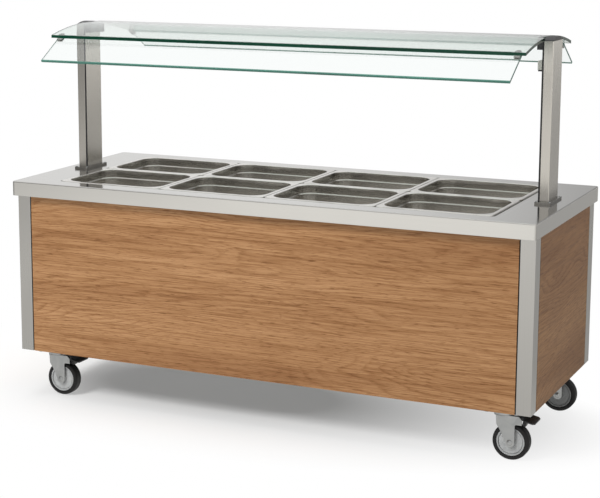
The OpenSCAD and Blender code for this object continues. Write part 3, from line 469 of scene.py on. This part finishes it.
# Control screws: four stainless button-head screws, turned from bar, that hold the
# control panel to the posts by its corners.
def pick_top(piece):
    """Enters edit mode with only the faces that look up selected."""
    pick(piece)
    bpy.ops.object.mode_set(mode="EDIT")
    bpy.ops.mesh.select_mode(type="FACE")
    bpy.ops.mesh.select_all(action="DESELECT")
    bpy.ops.object.mode_set(mode="OBJECT")
    for face in piece.data.polygons:
        face.select = face.normal.z > 0.999
    bpy.ops.object.mode_set(mode="EDIT")


def socket_screws(name, spots, radius, finish):
    """Button-head screws with a socket; spots are (point on a face, way that the face looks)."""
    height = radius * 0.6
    sunk = radius * 0.04
    dome = radius * 0.28
    land = radius * 0.24
    socket_draft = radius * 0.02
    socket_depth = radius * 0.3
    clear_selection()
    bpy.ops.mesh.primitive_cylinder_add(vertices=24, radius=radius, depth=height)
    head = bpy.context.object
    pick_top(head)
    bpy.ops.mesh.bevel(offset=dome, segments=3)
    pick_top(head)
    bpy.ops.mesh.inset(thickness=land)
    bpy.ops.mesh.inset(thickness=socket_draft, depth=-socket_depth)
    bpy.ops.object.mode_set(mode="OBJECT")
    screws = []
    for point, facing in spots:
        outward = Vector(facing).normalized()
        seat = Vector(point) + outward * (height / 2 - sunk)
        screws.append(copy_to(head, seat, outward.to_track_quat("Z", "Y").to_euler()))
    bpy.data.objects.remove(head)
    settle(join(screws), name, finish, "counter")


screw_steel = start_finish("screw_steel", chip(170, 171, 172), metal=1.0)
turning = mottle(screw_steel, (700, 700, 700), detail=2.0)
paint(screw_steel, turning, chip(158, 159, 160), chip(182, 183, 184))
roughen(screw_steel, turning, 0.22, 0.32)
from_side = 0.014
from_end = 0.016
panel_spots = []
for x in (panel_low.x + from_side, panel_high.x - from_side):
    for z in (panel_low.z + from_end, panel_high.z - from_end):
        panel_spots.append(((x, panel_high.y, z), (0, 1, 0)))
socket_screws("control_screws", panel_spots, 0.0035, screw_steel)

# Uprights: stainless tubes brushed up and down, each on a bolted foot plate, with
# a domed black cap in its upper end and a black rest for the glass.
upright_steel = brushed_sheet("upright_steel", chip(200, 196, 189), (560, 560, 2.5), 0.24)
dress(upright_steel, "left_upright", "right_upright")
foot_steel = brushed_sheet("foot_steel", chip(150, 147, 142), (4, 200, 200), 0.22)
dress(foot_steel, "foot_plates")
bolt_zinc = start_finish("bolt_zinc", chip(186, 188, 190), metal=1.0)
passivate = mottle(bolt_zinc, (34, 34, 34), detail=3.0, twist=0.5)
paint(bolt_zinc, passivate, chip(168, 170, 172), chip(200, 202, 202))
roughen(bolt_zinc, passivate, 0.26, 0.38)
emboss(bolt_zinc, passivate, 0.0001, strength=0.15, fold=0.0008)
dress(bolt_zinc, "backing_plates", "mounting_bolts")
dress(moulded_black, "upright_caps", "roof_rests")

# Foot screws: four zinc-plated button-head screws in the corners of each foot
# plate, which hold it on the worktop.
plates_low, plates_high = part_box("foot_plates")
half_plate = 0.022
half_pitch_x = 0.018
half_pitch_y = 0.0535
plate_y = (plates_low.y + plates_high.y) / 2
corner_spots = []
for plate_x in (plates_low.x + half_plate, plates_high.x - half_plate):
    for over in (-half_pitch_x, half_pitch_x):
        for along in (-half_pitch_y, half_pitch_y):
            corner_spots.append(((plate_x + over, plate_y + along, plates_high.z), (0, 0, 1)))
socket_screws("foot_screws", corner_spots, 0.0030, bolt_zinc)

# Glass roof and panes: float glass, bowed for the roof, with polished edges that
# look dark green because light runs the long way through the sheet.
def mix_shaders(finish, amount, first, second):
    """The first shader where amount is 0 and the second where it is 1."""
    tree = finish.node_tree
    mix = tree.nodes.new("ShaderNodeMixShader")
    for socket, value in zip(mix.inputs, (amount, first, second)):
        tree.links.new(value, socket)
    return mix.outputs["Shader"]


def sheet_glass(name, node, edge, tint, long_edge):
    """Glass that shows the edge colour at its rim; long_edge is how wide the long rims look."""
    low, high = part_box(node)
    glass = start_finish(name, tint, roughness=0.02)
    tree = glass.node_tree
    skin = skin_of(glass)
    skin.inputs["Transmission Weight"].default_value = 1.0
    skin.inputs["IOR"].default_value = 1.5
    skin.inputs["Specular IOR Level"].default_value = 0.3
    own = axes_of(glass)
    short_edge = 0.0004
    rims = []
    for axis, start, end, width in (("X", low.x, high.x, short_edge), ("Y", low.y, high.y, long_edge)):
        from_middle = reckon(glass, "ABSOLUTE", reckon(glass, "SUBTRACT", own[axis], (start + end) / 2))
        rims.append(reckon(glass, "GREATER_THAN", from_middle, (end - start) / 2 - width))
    rim = reckon(glass, "MAXIMUM", *rims)
    cloud = mottle(glass, (3.5, 3.5, 90), detail=3.0)
    pale_edge = tuple(c * 1.9 + 0.004 for c in edge)
    depth = tones(glass, cloud, (0.3, edge), (0.75, pale_edge))
    wire(glass, lay(glass, tint, depth, rim), "Base Color")
    wire(glass, spread(glass, rim, 1.0, 0.12, 0.0, 1.0), "Transmission Weight")
    roughen(glass, rim, 0.02, 0.16, 0.0, 1.0)
    in_shadow = tree.nodes.new("ShaderNodeLightPath").outputs["Is Shadow Ray"]
    clear = tree.nodes.new("ShaderNodeBsdfTransparent")
    clear.inputs["Color"].default_value = (0.88, 0.92, 0.90, 1.0)
    through = mix_shaders(glass, in_shadow, skin.outputs["BSDF"], clear.outputs["BSDF"])
    tree.links.new(through, tree.nodes["Material Output"].inputs["Surface"])
    return glass


roof_glass = sheet_glass("roof_glass", "glass_roof", chip(0, 50, 34), chip(236, 243, 239), 0.0004)
front_glass = sheet_glass("front_glass", "front_pane", chip(58, 104, 92), chip(250, 253, 252), 0.0035)
rear_glass = sheet_glass("rear_glass", "rear_pane", chip(58, 104, 92), chip(250, 253, 252), 0.0035)
dress(roof_glass, "glass_roof")
dress(front_glass, "front_pane")
dress(rear_glass, "rear_pane")

# Pane clamps: small turned and slotted clamps glued under the roof, with a socket
# screw in the lower jaw of each that pinches the pane.
clamp_steel = brushed_sheet("clamp_steel", chip(176, 175, 172), (120, 120, 120), 0.3, fold=0.0008)
dress(clamp_steel, "pane_clamps")
clamps_low, clamps_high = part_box("pane_clamps")
pane_low, pane_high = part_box("front_pane")
pane_slope = radians(31.4)
pane_width = 0.117
half_pane = 0.003
half_clamp = 0.008
jaw_back = 0.011
jaw_drop = 0.006
hood_middle = (clamps_low.y + clamps_high.y) / 2
upper_edge_y = pane_low.y + pane_width * cos(pane_slope) + half_pane * sin(pane_slope) - hood_middle
upper_edge_z = pane_high.z - half_pane * cos(pane_slope)
jaw_y = upper_edge_y - jaw_back * cos(pane_slope) + jaw_drop * sin(pane_slope)
jaw_z = upper_edge_z - jaw_back * sin(pane_slope) - jaw_drop * cos(pane_slope)
jaw_spots = []
for clamp_x in (clamps_low.x + half_clamp, clamps_high.x - half_clamp):
    for side in (1, -1):
        outward = (0, side * sin(pane_slope), -cos(pane_slope))
        jaw_spots.append(((clamp_x, hood_middle + side * jaw_y, jaw_z), outward))
socket_screws("clamp_screws", jaw_spots, 0.0028, screw_steel)

# Side box: a plain box moulded in grey plastic with a fine matt grain, on the right
# upright's inner face. Its base is black.
box_grey = start_finish("box_grey", chip(176, 174, 168), roughness=0.5)
matt = mottle(box_grey, (300, 300, 300), detail=2.0)
paint(box_grey, matt, chip(168, 166, 160), chip(182, 180, 174))
emboss(box_grey, matt, 0.0001, strength=0.2, fold=0.0012)
dress(box_grey, "side_box")
dress(moulded_black, "side_box_base")

# Casters: bolted plates and forks pressed from zinc-plated sheet, grey moulded
# wheels with a ring lip, soft black tyres, and a black pedal on the two front ones.
fork_zinc = start_finish("fork_zinc", chip(190, 192, 192), metal=1.0)
plating = mottle(fork_zinc, (26, 26, 26), detail=3.0, twist=0.8)
paint(fork_zinc, plating, chip(176, 178, 178), chip(202, 203, 202))
roughen(fork_zinc, plating, 0.30, 0.42)
emboss(fork_zinc, plating, 0.0002, strength=0.15, fold=0.0015)
dress(bolt_zinc, "caster_plates")
dress(fork_zinc, *[f"fork_{corner}" for corner in corners])
disc_grey = start_finish("disc_grey", chip(180, 182, 182), roughness=0.45)
skin_marks = mottle(disc_grey, (80, 80, 80), detail=3.0)
paint(disc_grey, skin_marks, chip(172, 174, 174), chip(188, 190, 190))
emboss(disc_grey, skin_marks, 0.0001, strength=0.2, fold=0.0008)
dress(disc_grey, *[f"wheel_{corner}" for corner in corners])
tyre_rubber = start_finish("tyre_rubber", chip(18, 18, 18), roughness=0.62)
scuffs = mottle(tyre_rubber, (120, 60, 120), detail=5.0, twist=0.5)
paint(tyre_rubber, scuffs, chip(13, 13, 13), chip(28, 27, 27), end=0.75)
roughen(tyre_rubber, scuffs, 0.52, 0.74)
emboss(tyre_rubber, scuffs, 0.0003, strength=0.25, fold=0.002)
dress(tyre_rubber, *[f"tyre_{corner}" for corner in corners])
dress(moulded_black, "pedal_left", "pedal_right")

# Studio floor: pale paper that runs out to white round the counter and keeps its
# shadow. Steel mirrors it dim at the far left in front and dim behind the counter,
# but bright at the far right behind it.
def between(owner, amount, first, second):
    """The first number or pattern where amount is 0, and the second where it is 1."""
    tree = owner.node_tree
    mix = tree.nodes.new("ShaderNodeMix")
    tree.links.new(amount, mix.inputs["Factor"])
    for socket, value in (("A", first), ("B", second)):
        if isinstance(value, float):
            mix.inputs[socket].default_value = value
        else:
            tree.links.new(value, mix.inputs[socket])
    return mix.outputs["Result"]


clear_selection()
bpy.ops.mesh.primitive_plane_add(size=120, location=(0, 0, 0))
ground = bpy.context.object
ground.name = "studio_floor"
paper = start_finish("paper", chip(244, 244, 243), roughness=0.9)
skin_of(paper).inputs["Specular IOR Level"].default_value = 0.0
fleck = mottle(paper, (3, 3, 3), detail=2.0)
paint(paper, fleck, chip(243, 243, 242), chip(246, 246, 245))
tree = paper.node_tree
ray = tree.nodes.new("ShaderNodeLightPath").outputs
white = tree.nodes.new("ShaderNodeEmission")
far = tree.nodes.new("ShaderNodeVectorMath")
far.operation = "LENGTH"
tree.links.new(place_on(paper, (0.60, 1.25, 1.0), (0.16, 0.0, 0.0)), far.inputs[0])
fade = spread(paper, far.outputs["Value"], 0.14, 1.0, start=0.22, end=0.76)
straight = reckon(paper, "MAXIMUM", ray["Is Camera Ray"], ray["Is Transmission Ray"])
seen = reckon(paper, "MULTIPLY", fade, straight)
plain_floor = mix_shaders(paper, seen, skin_of(paper).outputs["BSDF"], white.outputs["Emission"])
on_floor = axes_of(paper)
glow_to_front = spread(paper, on_floor["Y"], 1.10, 0.72, start=-3.2, end=-0.9)
glow_from_left = spread(paper, on_floor["X"], 0.14, 1.0, start=-6.0, end=-1.6)
front_glow = reckon(paper, "MULTIPLY", glow_to_front, glow_from_left)
rear_glow = spread(paper, on_floor["X"], 0.45, 1.90, start=4.0, end=11.0)
is_rear = spread(paper, on_floor["Y"], 0.0, 1.0, start=-0.4, end=0.6)
glow = tree.nodes.new("ShaderNodeEmission")
glow.inputs["Color"].default_value = (*chip(255, 254, 251), 1.0)
tree.links.new(between(paper, is_rear, front_glow, rear_glow), glow.inputs["Strength"])
bounced = reckon(paper, "SUBTRACT", ray["Is Glossy Ray"], ray["Is Transmission Ray"], clamp=True)
floor_shader = mix_shaders(paper, bounced, plain_floor, glow.outputs["Emission"])
tree.links.new(floor_shader, tree.nodes["Material Output"].inputs["Surface"])
ground.data.materials.append(paper)

# Studio room: plain white to the eye and through glass, and it lights the counter
# more from the left than from the right. Steel mirrors it dim at the front left and
# at the rear right, and bright overhead.
room = bpy.data.worlds.new("studio_room")
bpy.context.scene.world = room
room.use_nodes = True
tree = room.node_tree
air = tree.nodes["Background"]
air.inputs["Color"].default_value = (1.0, 1.0, 1.0, 1.0)
ray = tree.nodes.new("ShaderNodeLightPath").outputs
sky = tree.nodes.new("ShaderNodeTexCoord")
towards = tree.nodes.new("ShaderNodeSeparateXYZ")
tree.links.new(sky.outputs["Generated"], towards.inputs["Vector"])


def across(axis, start, end, low, high):
    """A strength that eases from low to high as a ray turns from start to end along an axis."""
    return spread(room, towards.outputs[axis], low, high, start, end, ease="SMOOTHSTEP")


behind = across("X", -0.42, -0.14, 0.86, 0.34)
before = across("X", -0.62, -0.25, 0.26, 0.66)
around = between(room, across("Y", -0.4, 0.4, 0.0, 1.0), before, behind)
mirrored = between(room, across("Z", 0.35, 0.85, 0.0, 1.0), around, 0.92)
ambient = across("X", -0.9, 0.9, 0.60, 0.20)
lit = between(room, ray["Is Glossy Ray"], ambient, mirrored)
straight = reckon(room, "MAXIMUM", ray["Is Camera Ray"], ray["Is Transmission Ray"])
tree.links.new(between(room, straight, lit, 1.0), air.inputs["Strength"])

# Studio lamps: a key lamp high at the front left and a broad lamp overhead. Neither
# shows in the steel or the glass.
def studio_lamp(name, place, aim, size, power):
    clear_selection()
    bpy.ops.object.light_add(type="AREA", location=place)
    lamp = bpy.context.object
    lamp.name = name
    lamp.rotation_euler = (Vector(aim) - Vector(place)).to_track_quat("-Z", "Y").to_euler()
    lamp.data.shape = "SQUARE"
    lamp.data.size = size
    lamp.data.energy = power
    lamp.visible_glossy = False
    lamp.visible_transmission = False


studio_lamp("key", (-1.6, -3.9, 4.0), aim=(0.1, 0, 0.4), size=1.8, power=172)
studio_lamp("overhead", (-0.4, 0.4, 4.2), aim=(0, 0, 0.6), size=3.0, power=80)

# Camera: in front of the counter and to its right, a little higher than the glass,
# and looking down on it by ten degrees.
stand = (1.8677, -4.26, 1.4202)
look_down = 10
turn_left = 25.549
clear_selection()
bpy.ops.object.camera_add(location=stand, rotation=(radians(90 - look_down), 0, radians(turn_left)))
camera = bpy.context.object
camera.data.lens = 97.918
camera.data.sensor_width = 36
camera.data.shift_x = 0.08368
camera.data.shift_y = -0.0811
bpy.context.scene.camera = camera
bpy.context.scene.view_settings.view_transform = "Standard"
